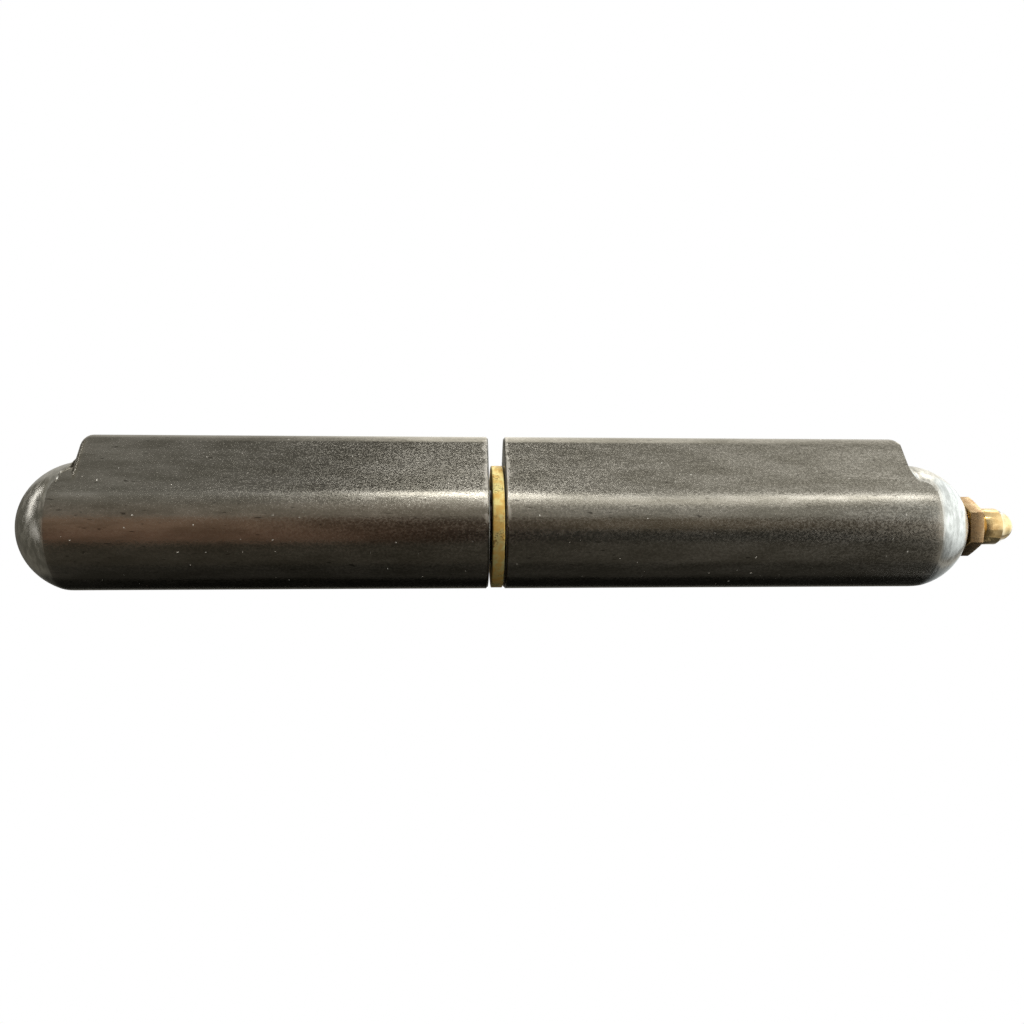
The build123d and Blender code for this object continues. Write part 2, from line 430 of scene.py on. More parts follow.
def start_primitive() -> None:
    """Leaves nothing selected, so that an operator meets only what is added next."""
    if bpy.context.object and bpy.context.object.mode != "OBJECT":
        bpy.ops.object.mode_set(mode="OBJECT")
    bpy.ops.object.select_all(action="DESELECT")


def take(piece: Object) -> None:
    """Selects a piece alone and makes it the active one.

    Args:
        piece: The object that the next operators act on.
    """
    bpy.ops.object.select_all(action="DESELECT")
    piece.select_set(True)
    bpy.context.view_layer.objects.active = piece


def clean_mesh(piece: Object) -> None:
    """Merges a piece's double points, closes what merged flat and turns its faces outwards.

    Args:
        piece: The modelled piece.
    """
    take(piece)
    bpy.ops.object.mode_set(mode="EDIT")
    bpy.ops.mesh.select_all(action="SELECT")
    bpy.ops.mesh.remove_doubles(threshold=MERGE_MM * MM)
    bpy.ops.mesh.dissolve_degenerate(threshold=MERGE_MM * MM)
    bpy.ops.mesh.select_all(action="SELECT")
    bpy.ops.mesh.normals_make_consistent(inside=False)
    bpy.ops.mesh.select_all(action="DESELECT")
    bpy.ops.object.mode_set(mode="OBJECT")


def smooth(piece: Object, angle: float = SMOOTH_ANGLE) -> None:
    """Shades a piece smooth, apart from its sharper edges.

    Args:
        piece: The modelled piece.
        angle: Edges sharper than this stay crisp, in degrees.
    """
    take(piece)
    bpy.ops.object.shade_smooth_by_angle(angle=radians(angle))
    bpy.ops.object.select_all(action="DESELECT")


def apply_modifier(piece: Object, kind: str, settings: dict[str, Any]) -> None:
    """Adds a modifier with its settings and applies it.

    Args:
        piece: The object that gets the modifier.
        kind: The modifier's type, such as "BEVEL".
        settings: Attributes of the modifier.
    """
    take(piece)
    modifier = piece.modifiers.new(kind.lower(), kind)
    for name, value in settings.items():
        setattr(modifier, name, value)
    bpy.ops.object.modifier_apply(modifier=modifier.name)


def arc(center: tuple[float, float], radius: float, start: float, end: float,
        steps: int) -> list[tuple[float, float]]:
    """Points of an arc in the plane of radius and height.

    Args:
        center: Distance from the axis and height of the arc's centre.
        radius: The arc's radius.
        start: First angle in degrees, from the outward direction towards the top.
        end: Last angle.
        steps: Number of chords.

    Returns:
        The points as (distance from the axis, height), both ends included.
    """
    turns = [radians(start + (end - start) * i / steps) for i in range(steps + 1)]
    return [(center[0] + radius * cos(t), center[1] + radius * sin(t)) for t in turns]


def turned(name: str, profile: Sequence[tuple[float, float]], sides: int) -> Object:
    """Turns a closed or pole-to-pole profile: a circle is extruded and scaled from point to point.

    Args:
        name: The piece's name.
        profile: Points as (distance from the axis, height), in order.
        sides: Number of sides of the circle.

    Returns:
        The piece, with its doubles merged and its faces outwards.
    """
    start_primitive()
    points = [(max(r, POLE_MM), z) for r, z in profile]
    first_r, first_z = points[0]
    bpy.ops.mesh.primitive_circle_add(vertices=sides, radius=first_r * MM, location=(0, 0, first_z * MM))
    piece = bpy.context.object
    piece.name = name
    bpy.ops.object.transform_apply(location=True, rotation=True, scale=True)
    bpy.ops.object.mode_set(mode="EDIT")
    bpy.ops.mesh.select_all(action="SELECT")
    for (r0, z0), (r1, z1) in zip(points, points[1:]):
        bpy.ops.mesh.extrude_edges_move(TRANSFORM_OT_translate={"value": (0, 0, (z1 - z0) * MM)})
        bpy.ops.transform.resize(value=(r1 / r0, r1 / r0, 1), center_override=(0, 0, z1 * MM))
    bpy.ops.object.mode_set(mode="OBJECT")
    clean_mesh(piece)
    return piece


def place_piece(piece: Object, body: str, slot: Slot, *nodes: str) -> None:
    """Makes a piece ride on its body, in place of its CAD nodes.

    Args:
        piece: The finished piece.
        body: The CAD body that carries it.
        slot: Not used.
        nodes: CAD nodes that it stands for.
    """
    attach(piece, body)
    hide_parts(*nodes)
    log.info("%s: %d faces on %s", piece.name, len(piece.data.polygons), body)


# The leaves


@dataclass(frozen=True)
class Ring:
    """One ring of points round a leaf: its height, the turned radius there and what is off the bar."""

    z: float
    clip: float                 # the turned surface's distance from the axis
    wing_off: float = 0.0       # how far the wing's outline is set back there
    barrel_off: float = 0.0     # how far the barrel's outline is set back there


@dataclass
class DrawnBar:
    """The teardrop section that both leaves are sawn from, seen from the swing axis."""

    barrel_radius: float = 11.0
    wing_reach: float = 16.0
    tip_radius: float = 3.5
    barrel_steps: int = 200
    flat_steps: int = 44
    tip_steps: int = 44
    edge_round: float = 0.25    # softness of the edge between the drawn skin and a turned face

    @property
    def tip_center(self) -> float:
        """Distance from the swing axis to the centre of the wing's round tip."""
        return self.wing_reach - self.tip_radius

    @property
    def flat_angle(self) -> float:
        """Angle from -X to the normal of a flat, which is tangent to the barrel and to the tip."""
        return acos((self.barrel_radius - self.tip_radius) / self.tip_center)

    def tip_edge(self, tip: float) -> float:
        """Angle from -X to where a tip of a given radius meets its flat."""
        return atan2(tip * sin(self.flat_angle), self.tip_center + tip * cos(self.flat_angle))

    def rays(self) -> list[float]:
        """Angles of the rays from the axis, with more where the outline turns fast.

        Returns:
            The angles in radians, from +X round.
        """
        half = pi - self.flat_angle
        tip = self.tip_radius
        tip_edge = self.tip_edge(tip)
        wing_span = self.flat_angle - tip_edge
        barrel = [-half + 2 * half * i / self.barrel_steps for i in range(self.barrel_steps)]
        first = [half + wing_span * i / self.flat_steps for i in range(self.flat_steps)]
        turns = [self.flat_angle * (1 - 2 * i / self.tip_steps) for i in range(self.tip_steps)]
        round_tip = [pi - atan2(tip * sin(t), self.tip_center + tip * cos(t)) for t in turns]
        last = [pi + tip_edge + wing_span * i / self.flat_steps for i in range(self.flat_steps)]
        return barrel + first + round_tip + last

    def reach(self, ray: float, ring: Ring) -> float:
        """Distance from the axis to the drawn outline along a ray.

        Args:
            ray: The ray's angle from +X.
            ring: The ring, whose set-backs count.

        Returns:
            The distance in millimetres.
        """
        off_axis = abs((ray + pi) % (2 * pi) - pi)      # angle from +X, from 0 to pi
        from_wing = pi - off_axis
        barrel = self.barrel_radius - ring.barrel_off
        flat = self.barrel_radius - ring.wing_off
        tip = self.tip_radius - ring.wing_off
        if from_wing >= self.flat_angle:
            return barrel
        if from_wing >= self.tip_edge(tip):
            return max(barrel, flat / cos(self.flat_angle - from_wing))
        along = self.tip_center * cos(from_wing)
        return along + sqrt(max(0.0, tip**2 - (self.tip_center * sin(from_wing)) ** 2))

    def distance(self, ray: float, ring: Ring) -> tuple[float, bool]:
        """Where a ray leaves the leaf, and whether it leaves through the turned surface.

        Args:
            ray: The ray's angle from +X.
            ring: The ring that the point lies on.

        Returns:
            The distance in millimetres, and True for the turned surface.
        """
        reach = self.reach(ray, ring)
        near = 0.0
        if ring.clip > self.barrel_radius - self.edge_round:        # not on the bearing face
            near = max(0.0, self.edge_round - abs(reach - ring.clip)) / self.edge_round
        worn = near * near * self.edge_round / 4
        return min(reach, ring.clip) - worn, ring.clip < reach


def soft_bevel(width: float, steps: int, power: float = 1.35) -> list[tuple[float, float]]:
    """Points of a bevel whose corners are worn.

    Args:
        width: The bevel's width along each face.
        steps: Number of chords.
        power: 1 for a straight bevel and 2 for a full round.

    Returns:
        Pairs of the distance still to go along the face and of the set-back.
    """
    turns = [pi / 2 * i / steps for i in range(steps + 1)]
    return [(width * (1 - sin(t) ** (2 / power)), width * (1 - cos(t) ** (2 / power))) for t in turns]


@dataclass
class Leaf:
    """A leaf of the hinge: drawn bar with one end turned to a dome and the other faced and bored."""

    name: str
    body: str
    bar: DrawnBar
    outward: int                # +1 where the dome is above the joint, -1 where it is below
    length: float
    bore_radius: float
    face_bevel: float = 0.28
    bevel_steps: int = 8
    face_radii: tuple[float, ...] = (8.0, 9.4, 10.6, 12.4, 14.0)    # rings over the bearing face
    mouth_width: float = 0.4    # width of the innermost of them
    dome_radius: float = 11.2
    dome_steps: int = 56
    skin_steps: int = 8         # rings from the dome's start to the edge of the drawn barrel
    drill_point: float = 59.0   # half angle of the drill's point, in degrees

    @property
    def dome_z(self) -> float:
        """Height of the dome's centre above the bearing face."""
        return self.length - self.dome_radius

    def dome_rings(self, low: float, high: float) -> list[Ring]:
        """Rings over the dome, with one on the edge of the drawn barrel.

        Args:
            low: First angle in degrees, from the outward direction towards the dome's top.
            high: Last angle.

        Returns:
            The rings, from the drawn skin up.
        """
        edge = degrees(acos(self.bar.barrel_radius / self.dome_radius))
        points = arc((0, self.dome_z), self.dome_radius, low, edge, self.skin_steps)
        points += arc((0, self.dome_z), self.dome_radius, edge, high, self.dome_steps)[1:]
        return [Ring(z, r) for r, z in points]

    def face_rings(self) -> list[Ring]:
        """Makes the rings of the bearing face.

        Returns:
            The rings from the bore's mouth over the face and its worn bevel to the drawn skin.
        """
        corner = self.face_bevel
        spokes = (self.bore_radius, self.bore_radius + self.mouth_width, *self.face_radii)
        flat = [Ring(0.0, r, corner, corner) for r in spokes]
        return flat + [Ring(corner - to_go, UNCUT, corner - off, corner - off)
                       for to_go, off in soft_bevel(corner, self.bevel_steps)]

    def end_rings(self) -> list[Ring]:
        """Rings from the end of the drawn skin to the top of the dome."""
        raise NotImplementedError

    def bore_rings(self) -> list[Ring]:
        """Rings from the far end of the bore to its mouth."""
        raise NotImplementedError

    def model(self) -> Object:
        """Extrudes a ring of points from the bore out over the face, the skin and the dome.

        Returns:
            The leaf, with its turned faces in the second material slot.
        """
        rings = self.bore_rings() + self.face_rings() + self.end_rings()
        rays = self.bar.rays()
        start_primitive()
        bpy.ops.mesh.primitive_circle_add(vertices=len(rays), radius=self.bore_radius * MM)
        piece = bpy.context.object
        piece.name = self.name
        bpy.ops.object.mode_set(mode="EDIT")
        bpy.ops.mesh.select_all(action="SELECT")
        for _ in rings[1:]:
            bpy.ops.mesh.extrude_edges_move(TRANSFORM_OT_translate={"value": (0, 0, self.bore_radius * MM)})
        bpy.ops.object.mode_set(mode="OBJECT")
        self.shape(piece, rings, rays)
        return piece

    def shape(self, piece: Object, rings: Sequence[Ring], rays: Sequence[float]) -> None:
        """Moves each extruded point to its place on the leaf, and marks the turned faces.

        Args:
            piece: The tube of extruded rings.
            rings: One ring for each row of the tube.
            rays: One ray for each column of the tube.
        """
        cut = []
        for row, ring in enumerate(rings):
            z = self.outward * (JOINT_GAP / 2 + ring.z)
            for column, ray in enumerate(rays):
                distance, is_turned = self.bar.distance(ray, ring)
                cut.append(is_turned or ring.z <= 0)
                place = Vector((distance * cos(ray), distance * sin(ray), z)) * MM
                piece.data.vertices[row * len(rays) + column].co = place
        piece.data.materials.append(None)       # the drawn skin's
        piece.data.materials.append(None)       # the turned faces'
        for face in piece.data.polygons:
            face.material_index = int(any(cut[v] for v in face.vertices))
        clean_mesh(piece)

    def dress(self, piece: Object, skin: Material, bright: Material) -> None:
        """Gives the leaf its two finishes and hangs it on its body.

        Args:
            piece: The modelled leaf.
            skin: Finish of the drawn skin.
            bright: Finish of the turned faces.
        """
        smooth(piece)
        piece.data.materials[0] = skin
        piece.data.materials[1] = bright
        place_piece(piece, self.body, Slot.DRAWN_STEEL, self.body)


@dataclass
class PinLeaf(Leaf):
    """The lower leaf, whose wing ends in a rounded edge and a hollow that runs into the dome."""

    dome_radius: float = 11.45
    seat_depth: float = 32.0
    wing_past: float = 1.05     # the wing's end lies this far outside the dome's centre
    wing_round: float = 2.0
    round_steps: int = 10
    end_widths: tuple[float, ...] = (2.4, 1.6, 0.9, 0.4)    # rings over the wing's end, from the hollow
    root_radius: float = 1.5
    root_steps: int = 12
    root_spread: float = 0.7    # share of the wing's round that is given back along the hollow
    top_angle: float = 89.99    # the dome's last ring, just short of the pole

    def bore_rings(self) -> list[Ring]:
        """Makes the rings of the pin's blind seat.

        Returns:
            The rings from the drill's point to the mouth.
        """
        point = self.bore_radius / tan(radians(self.drill_point))
        return [Ring(self.seat_depth + point, POLE_MM), Ring(self.seat_depth, self.bore_radius)]

    def end_rings(self) -> list[Ring]:
        """Makes the rings of the domed end.

        Returns:
            The rings from the drawn skin over the wing's rounded end and the hollow to the top.
        """
        wing_z = self.dome_z + self.wing_past
        start = wing_z - self.wing_round
        turns = [pi / 2 * i / self.round_steps for i in range(self.round_steps + 1)]
        rings = [Ring(start + self.wing_round * sin(t), UNCUT, self.wing_round * (1 - cos(t))) for t in turns]
        hollow_y = self.wing_past + self.root_radius
        hollow_x = sqrt((self.dome_radius + self.root_radius) ** 2 - hollow_y**2)
        rings += [Ring(wing_z, hollow_x + r, self.wing_round) for r in self.end_widths]
        meet = degrees(atan2(hollow_y, hollow_x))
        center = (hollow_x, self.dome_z + hollow_y)
        for i, (r, z) in enumerate(arc(center, self.root_radius, 270, 180 + meet, self.root_steps)):
            rings.append(Ring(z, r, self.wing_round * (1 - self.root_spread * i / self.root_steps)))
        return rings + self.dome_rings(meet, self.top_angle)[1:]


@dataclass
class SocketLeaf(Leaf):
    """The upper leaf, with a square wing end, a spot face and a tapped hole on top of its dome."""

    bore_depth: float = 49.2
    way_radius: float = 2.0
    thread_radius: float = 3.175
    thread_depth: float = 8.0
    spot_drop: float = 0.5
    tip_bevel: float = 0.7
    tip_steps: int = 4
    tip_lead: float = 0.4       # the last ring of drawn skin lies this far below the bevel
    end_radii: tuple[float, ...] = (14.4, 13.6, 13.0)       # rings over the wing's end
    root_radius: float = 1.45
    root_steps: int = 14

    def bore_rings(self) -> list[Ring]:
        """Makes the rings inside the leaf.

        Returns:
            The rings from the tapped hole down the grease way and the bore to its mouth.
        """
        seat = self.length - self.spot_drop
        cone = (self.bore_radius - self.way_radius) / tan(radians(self.drill_point))
        return [
            Ring(seat, self.thread_radius),
            Ring(seat - self.thread_depth, self.thread_radius),
            Ring(seat - self.thread_depth, self.way_radius),
            Ring(self.bore_depth + cone, self.way_radius),
            Ring(self.bore_depth, self.bore_radius),
        ]

    def end_rings(self) -> list[Ring]:
        """Makes the rings of the domed end.

        Returns:
            The rings from the drawn skin over the wing's square end and the hollow to the tapped hole.
        """
        wing_z = self.dome_z - self.root_radius
        reach = self.bar.wing_reach
        rings = [Ring(wing_z - self.tip_bevel - self.tip_lead, reach + self.tip_lead)]
        for i in range(self.tip_steps + 1):
            to_go = self.tip_bevel * (self.tip_steps - i) / self.tip_steps
            rings.append(Ring(wing_z - to_go, reach - self.tip_bevel + to_go))
        rings += [Ring(wing_z, r) for r in self.end_radii]
        center = (self.dome_radius + self.root_radius, self.dome_z)
        rings += [Ring(z, r) for r, z in arc(center, self.root_radius, 270, 180, self.root_steps)]
        top = degrees(asin((self.dome_radius - self.spot_drop) / self.dome_radius))
        rings += self.dome_rings(0, top)[1:]
        return rings + [Ring(self.length - self.spot_drop, self.thread_radius)]


# The parts between and inside the leaves


@dataclass
class ThrustWasher:
    """The brass ring that the upper leaf bears on."""

    thickness: float = 2.0
    middle_z: float = 0.15      # it lies nearer to the upper leaf
    outer_radius: float = 10.85
    bore_radius: float = 6.6
    edge: float = 0.15
    edge_steps: int = 4
    sides: int = 256
    crisp_angle: float = 40.0

    def model(self) -> Object:
        """Turns the ring with a round on each edge.

        Returns:
            The washer.
        """
        low = self.middle_z - self.thickness / 2 + self.edge
        high = self.middle_z + self.thickness / 2 - self.edge
        outer, inner = self.outer_radius - self.edge, self.bore_radius + self.edge
        profile = []
        edges = (((outer, low), 270), ((outer, high), 0), ((inner, high), 90), ((inner, low), 180))
        for center, start in edges:
            profile += arc(center, self.edge, start, start + 90, self.edge_steps)
        return turned("brass_thrust_washer", profile + profile[:1], self.sides)

    def dress(self, piece: Object, finish: Material) -> None:
        """Gives the washer its finish and lets it ride on the washer's body.

        Args:
            piece: The modelled washer.
            finish: Its brass.
        """
        smooth(piece, self.crisp_angle)
        piece.data.materials.append(finish)
        place_piece(piece, "thrust_washer", Slot.WASHER_BRASS, "thrust_washer")


@dataclass
class HingePin:
    """The ground pin that is pressed into the lower leaf."""

    radius: float = 6.5
    low: float = -33.4
    high: float = 46.6
    lead_in: float = 1.2
    soft: float = 0.15          # how far the lead-in's corners are broken
    sides: int = 192

    def model(self) -> Object:
        """Turns the pin with a lead-in at each end.

        Returns:
            The pin.
        """
        r, lead, soft = self.radius, self.lead_in, self.soft
        # One end's corner, as what is off the radius and off the end.
        corner = [(r, 0), (lead + soft, 0), (lead, soft / 2), (soft / 2, lead), (0, lead + soft)]
        profile = [(r - off, self.low + up) for off, up in corner]
        profile += [(r - off, self.high - down) for off, down in reversed(corner)]
        return turned("ground_hinge_pin", profile, self.sides)

    def dress(self, piece: Object, finish: Material) -> None:
        """Gives the pin its finish and lets it ride on the lower leaf.

        Args:
            piece: The modelled pin.
            finish: Its ground steel.
        """
        smooth(piece)
        piece.data.materials.append(finish)
        place_piece(piece, "pin_leaf", Slot.GROUND_STEEL, "hinge_pin")


@dataclass
class GreaseFitting:
    seat_z: float = 85.4
    hex_flats: float = 9.525
    hex_height: float = 2.5
    bevel_angle: float = 15.0   # slope of the hexagon's turned corners
    face_in: float = 0.05       # the turned face stays this far inside the flats
    past: float = 1.0           # what a cutting or joining solid reaches past its neighbour
    shank_radius: float = 3.175
    shank_length: float = 5.5
    foot_bevel: float = 0.5
    neck_radius: float = 2.5
    neck_length: float = 0.5
    head_radius: float = 3.35
    head_low: float = 1.4       # from the hexagon's outer face
    head_high: float = 4.4
    head_slopes: tuple[float, float] = (-40, 60)    # where the head's two edges run out
    edge_round: float = 0.08
    edge_steps: int = 3
    nose_round: float = 2.13
    nose_center: tuple[float, float] = (0.5, 5.45)  # off the axis, and from the hexagon's outer face
    nose_turn: tuple[float, float] = (12, 80)
    nose_steps: int = 12
    mouth_radius: float = 0.8
    mouth_length: float = 0.6
    passage_radius: float = 1.4
    lip_radius: float = 0.95
    lip_length: float = 0.5
    sides: int = 192
    crisp_angle: float = 24.0

    def body_profile(self) -> list[tuple[float, float]]:
        """Draws the turned body.

        Returns:
            Its profile from the foot up the outside and back down its passage.
        """
        foot = self.seat_z - self.shank_length
        hex_top = self.seat_z + self.hex_height
        joint = self.seat_z + self.past
        edge_in = self.head_radius - self.edge_round
        outside = [(self.lip_radius, foot), (self.shank_radius - self.foot_bevel, foot),
                   (self.shank_radius, foot + self.foot_bevel), (self.shank_radius, joint),
                   (self.neck_radius, joint), (self.neck_radius, hex_top + self.neck_length)]
        low_slope, high_slope = self.head_slopes
        outside += arc((edge_in, hex_top + self.head_low), self.edge_round, low_slope, 0, self.edge_steps)
        outside += arc((edge_in, hex_top + self.head_high), self.edge_round, 0, high_slope, self.edge_steps)
        center = (self.nose_center[0], hex_top + self.nose_center[1])
        outside += arc(center, self.nose_round, *self.nose_turn, self.nose_steps)
        top = outside[-1][1]
        seat_high = top - self.mouth_length
        seat_low = seat_high - self.passage_radius + self.mouth_radius
        inside = [(self.mouth_radius, top), (self.mouth_radius, seat_high),
                  (self.passage_radius, seat_low), (self.passage_radius, foot + self.lip_length),
                  (self.lip_radius, foot + self.lip_length)]
        return outside + inside + outside[:1]

    def model_hexagon(self) -> Object:
        """Makes the hexagon with its corners turned down on the outer face, and its edges broken.

        Returns:
            The hexagon.
        """
        start_primitive()
        flat = self.hex_flats / 2
        corner = flat / cos(radians(30))
        middle = self.seat_z + self.hex_height / 2
        bpy.ops.mesh.primitive_cylinder_add(vertices=6, radius=corner * MM, depth=self.hex_height * MM,
                                            location=(0, 0, middle * MM), rotation=(0, 0, radians(30)))
        hexagon = bpy.context.object
        hexagon.name = "fitting_hexagon"
        bpy.ops.object.transform_apply(location=True, rotation=True, scale=True)
        apply_modifier(hexagon, "BEVEL", {"width": self.edge_round * MM, "segments": self.edge_steps,
                                          "limit_method": "ANGLE", "angle_limit": radians(50)})
        far = corner + self.past
        low, top = self.seat_z - self.past, self.seat_z + self.hex_height
        rim = top - (far - flat) * tan(radians(self.bevel_angle))
        profile = [(0, low), (far, low), (far, rim), (flat - self.face_in, top), (0, top)]
        cone = turned("hexagon_turning", profile, self.sides)
        apply_modifier(hexagon, "BOOLEAN", {"operation": "INTERSECT", "object": cone, "solver": "EXACT"})
        bpy.data.objects.remove(cone)
        return hexagon

    def model(self) -> Object:
        """Joins the turned body and the hexagon into one piece.

        Returns:
            The fitting.
        """
        body = turned("brass_grease_fitting", self.body_profile(), self.sides)
        hexagon = self.model_hexagon()
        apply_modifier(body, "BOOLEAN", {"operation": "UNION", "object": hexagon, "solver": "EXACT"})
        bpy.data.objects.remove(hexagon)
        clean_mesh(body)
        return body

    def dress(self, piece: Object, turned_brass: Material, hexagon_brass: Material) -> None:
        """Gives the body and the hexagon their finishes and lets the fitting ride on the upper leaf.

        Args:
            piece: The modelled fitting.
            turned_brass: Finish of the turned body, and of the hexagon's turned face.
            hexagon_brass: Finish of the hexagon's flats and corners.
        """
        smooth(piece, self.crisp_angle)
        piece.data.materials.append(turned_brass)
        piece.data.materials.append(hexagon_brass)
        low, high = (self.seat_z - MERGE_MM) * MM, (self.seat_z + self.hex_height) * MM
        for face in piece.data.polygons:
            x, y, z = face.center
            is_outside = Vector((x, y)).length > self.shank_radius * MM
            faces_up = face.normal.z >= 0.5
            face.material_index = int(is_outside and low <= z <= high and not faces_up)
        place_piece(piece, "socket_leaf", Slot.FITTING_BRASS, "grease_fitting")


@dataclass
class CheckValve:
    """The ball and spring inside the fitting, which stay as their CAD solids."""

    nodes: tuple[str, ...] = ("check_ball", "check_spring")

    def dress(self, finish: Material) -> None:
        """Gives the ball and the spring their finish.

        Args:
            finish: Their ground steel.
        """
        for name in self.nodes:
            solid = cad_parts[name]
            solid.data.materials.clear()
            solid.data.materials.append(finish)
            log.info("%s: finished as its solid", name)


# Studio


@dataclass(frozen=True)
class SideCard:
    """A card of light beside the hinge, between two directions round the swing axis."""

    name: str
    low: float                  # lower edge, in degrees from the front towards the wings' side
    high: float                 # upper edge
    color: str
    levels: tuple[tuple[float, float], ...]     # places along the swing axis, and the light there


@dataclass(frozen=True)
class EndCard:
    """A card of light beyond one end of the hinge."""

    name: str
    z: float
    size: tuple[float, float]
    place: tuple[float, float]
    turn: float                 # in degrees round the swing axis
    color: str
    levels: tuple[tuple[float, float], ...]     # places along X, and the light there


@dataclass
class Studio:
    """The light and the ground: soft boxes and dim cards all round the hinge, and a pale floor."""

    distance: float = 0.6       # from the swing axis to the edges of the cards beside it
    floor_z: float = -0.9
    floor_size: float = 2.4
    floor_light: str = "F4F3F0"
    floor_dark: str = "EEEDEA"
    floor_cloud: Speckle = Speckle(40.0)
    floor_roughness: float = 0.9
    soft_white: str = "F6F6F4"
    soft_level: float = 0.9
    side_cards: tuple[SideCard, ...] = (
        # Beside the lower leaf.
        SideCard("pin_upper_box", 67, 92, "F6F2E8",
                 ((-0.6, 0.42), (-0.3, 0.31), (-0.1, 0.19), (-0.02, 0.32), (0.03, 0.34))),
        SideCard("pin_strip_box", 60, 67, "FFFDF8",
                 ((-0.6, 0.3), (-0.36, 0.6), (-0.2, 0.5), (-0.08, 0.4), (-0.03, 9.5), (0.03, 9.5))),
        SideCard("pin_fringe_box", 43, 60, "F8F2E6",
                 ((-0.6, 0.3), (-0.3, 0.36), (-0.19, 0.26), (-0.09, 0.4), (-0.02, 1.1), (0.03, 1.1))),
        SideCard("pin_front_box", 19, 43, "F4E8D8",
                 ((-0.6, 0.26), (-0.3, 0.27), (-0.1, 0.42), (-0.01, 0.46), (0.03, 0.78))),
        SideCard("pin_warm_card", -3, 19, "D6B298",
                 ((-0.6, 0.46), (-0.19, 0.42), (-0.09, 0.175), (0.03, 0.1))),
        SideCard("pin_front_card", -25, -3, "D6AC92",
                 ((-0.6, 0.28), (-0.19, 0.34), (-0.09, 0.22), (0.0, 0.035), (0.03, 0.04))),
        SideCard("pin_lower_card", -68, -25, "D2C8B4",
                 ((-0.6, 0.16), (-0.3, 0.105), (-0.1, 0.1), (0.03, 0.115))),
        # Beside the upper leaf.
        SideCard("socket_upper_box", 62, 92, "F6F2E8",
                 ((0.03, 0.34), (0.07, 0.38), (0.16, 0.58), (0.26, 0.66), (0.35, 0.74), (0.42, 0.9))),
        SideCard("socket_strip_box", 54, 62, "FFFDF8",
                 ((0.03, 9.5), (0.07, 2.8), (0.16, 1.15), (0.26, 2.6), (0.35, 5.4), (0.42, 5.4))),
        SideCard("socket_fringe_box", 43, 54, "F8F4EA",
                 ((0.03, 1.1), (0.08, 1.2), (0.17, 1.7), (0.3, 1.2), (0.42, 0.8))),
        SideCard("socket_front_box", 19, 43, "F2EEE4",
                 ((0.03, 0.78), (0.06, 0.45), (0.17, 0.5), (0.27, 0.75), (0.35, 0.44), (0.42, 0.28))),
        SideCard("socket_warm_card", -3, 19, "E0CDB4",
                 ((0.03, 0.13), (0.08, 0.22), (0.17, 0.37), (0.27, 0.23), (0.34, 0.15), (0.42, 0.03))),
        SideCard("socket_front_card", -25, -3, "D0CEC4",
                 ((0.03, 0.05), (0.08, 0.08), (0.17, 0.09), (0.27, 0.07), (0.34, 0.055), (0.42, 0.02))),
        SideCard("socket_lower_card", -68, -25, "D2CABA",
                 ((0.03, 0.12), (0.08, 0.145), (0.26, 0.17), (0.35, 0.12), (0.42, 0.07))),
        # Above, below and behind both.
        SideCard("top_box", 92, 122, "F6F2E8",
                 ((-0.6, 0.42), (-0.25, 0.34), (-0.1, 0.6), (-0.03, 1.8),
                  (0.1, 1.5), (0.3, 0.9), (0.42, 0.9))),
        SideCard("back_box", 122, 170, "F4F0E6",
                 ((-0.6, 0.5), (-0.15, 0.7), (0.0, 1.9), (0.15, 1.2), (0.42, 1.0))),
        SideCard("under_card", -105, -68, "CCC6B8",
                 ((-0.6, 0.18), (-0.25, 0.05), (0.0, 0.06), (0.08, 0.08), (0.42, 0.09))),
        SideCard("dark_card", -150, -105, "B8B4A8", ((-0.6, 0.1), (-0.25, 0.01), (0.42, 0.02))),
        SideCard("back_low_card", -190, -150, "D0CCC0", ((-0.6, 0.2), (0.42, 0.26))),
        # Beyond them, round the grease fitting.
        SideCard("far_top_box", 108, 130, "F8F4EC", ((0.42, 3.8), (0.48, 3.8), (0.6, 2.0))),
        SideCard("far_upper_box", 60, 108, "F8F4EC", ((0.42, 0.9), (0.49, 1.2), (0.6, 1.8))),
        SideCard("far_front_box", 8, 60, "FAF6EE", ((0.42, 0.45), (0.455, 1.6), (0.6, 1.6))),
        SideCard("far_mid_card", -20, 8, "F0E6DA", ((0.42, 0.1), (0.445, 1.6), (0.6, 0.9))),
        SideCard("far_low_card", -65, -20, "E6E0D4", ((0.42, 0.08), (0.455, 0.66), (0.6, 0.35))),
        SideCard("far_under_card", -190, -65, "E6E0D4",
                 ((0.42, 0.3), (0.45, 0.85), (0.5, 0.35), (0.6, 0.25))),
        SideCard("far_back_box", 130, 170, "F4F0E6", ((0.42, 1.4), (0.6, 1.6))),
    )
    end_cards: tuple[EndCard, ...] = (
        EndCard("fitting_end_box", 0.6, (1.7, 1.7), (0.0, 0.0), 0, "EEF4F6",
                ((-0.7, 1.2), (-0.3, 1.9), (0.0, 2.0), (0.2, 0.85), (0.34, 0.38), (0.6, 0.1))),
        EndCard("foot_end_card", -0.6, (1.7, 1.7), (0.0, 0.0), 0, "CEC8B8",
                ((-0.5, 0.5), (-0.3, 0.24), (0.5, 0.2))),
        EndCard("foot_streak_box", -0.54, (0.3, 0.05), (-0.199, 0.038), -30, "F8F4F0",
                ((-0.35, 5.4), (-0.05, 2.4))),
        EndCard("foot_glint_box", -0.53, (0.2, 0.06), (0.06, -0.2), -45, "F8F4F0",
                ((-0.1, 1.4), (0.2, 0.9))),
    )

